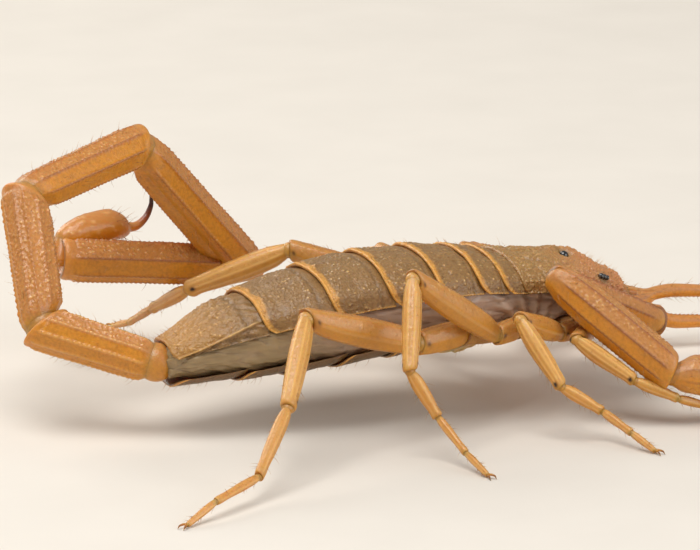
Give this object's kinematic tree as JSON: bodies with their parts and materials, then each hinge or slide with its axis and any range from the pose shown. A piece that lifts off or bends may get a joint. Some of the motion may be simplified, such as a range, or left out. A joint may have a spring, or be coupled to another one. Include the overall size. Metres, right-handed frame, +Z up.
{
  "type": "scorpion",
  "caption": "Slender amber bark scorpion, life size, standing with its long tail curled over its left side and its pincers forward.",
  "frame": {"origin": "middle of the footprint's bounding box, on the floor under the feet", "axes": "+X towards the head and pincers, +Y towards the animal's left, +Z up"},
  "size_m": [0.0396, 0.0342, 0.0123],
  "materials": {
    "amber": "glossy, thin and slightly see-through",
    "pale_amber": "glossy, thin and slightly see-through",
    "tail_amber": "granular above, smooth and glossy below",
    "back_olive": "granular, satin, with golden hind margins",
    "belly_olive": "smooth satin",
    "membrane": "soft and finely wrinkled",
    "eye_black": "polished"
  },
  "bodies": {
    "root": {"carapace": "amber", "chelicera_left": "amber", "chelicera_right": "amber", "coxosternum": "amber", "lateral_eyes_left": "eye_black", "lateral_eyes_right": "eye_black", "left_leg_1_femur": "amber", "left_leg_1_foot": "pale_amber", "left_leg_1_patella": "pale_amber", "left_leg_2_femur": "amber", "left_leg_2_foot": "pale_amber", "left_leg_2_patella": "pale_amber", "left_leg_3_femur": "amber", "left_leg_3_foot": "pale_amber", "left_leg_3_patella": "pale_amber", "left_leg_4_femur": "amber", "left_leg_4_foot": "pale_amber", "left_leg_4_patella": "pale_amber", "median_eye_left": "eye_black", "median_eye_right": "eye_black", "metasoma_1": "tail_amber", "metasoma_2": "tail_amber", "metasoma_3": "tail_amber", "metasoma_4": "tail_amber", "metasoma_5": "tail_amber", "pectine_left": "pale_amber", "pectine_right": "pale_amber", "pedipalp_left_femur": "amber", "pedipalp_left_hand": "amber", "pedipalp_left_moving_finger": "amber", "pedipalp_left_patella": "amber", "pedipalp_left_trochanter": "amber", "pedipalp_right_femur": "amber", "pedipalp_right_hand": "amber", "pedipalp_right_moving_finger": "amber", "pedipalp_right_patella": "amber", "pedipalp_right_trochanter": "amber", "right_leg_1_femur": "amber", "right_leg_1_foot": "pale_amber", "right_leg_1_patella": "pale_amber", "right_leg_2_femur": "amber", "right_leg_2_foot": "pale_amber", "right_leg_2_patella": "pale_amber", "right_leg_3_femur": "amber", "right_leg_3_foot": "pale_amber", "right_leg_3_patella": "pale_amber", "right_leg_4_femur": "amber", "right_leg_4_foot": "pale_amber", "right_leg_4_patella": "pale_amber", "sternites": "belly_olive", "telson": "amber", "tergite_1": "back_olive", "tergite_2": "back_olive", "tergite_3": "back_olive", "tergite_4": "back_olive", "tergite_5": "back_olive", "tergite_6": "back_olive", "tergite_7": "back_olive", "trunk": "membrane"}
  },
  "joints": []
}
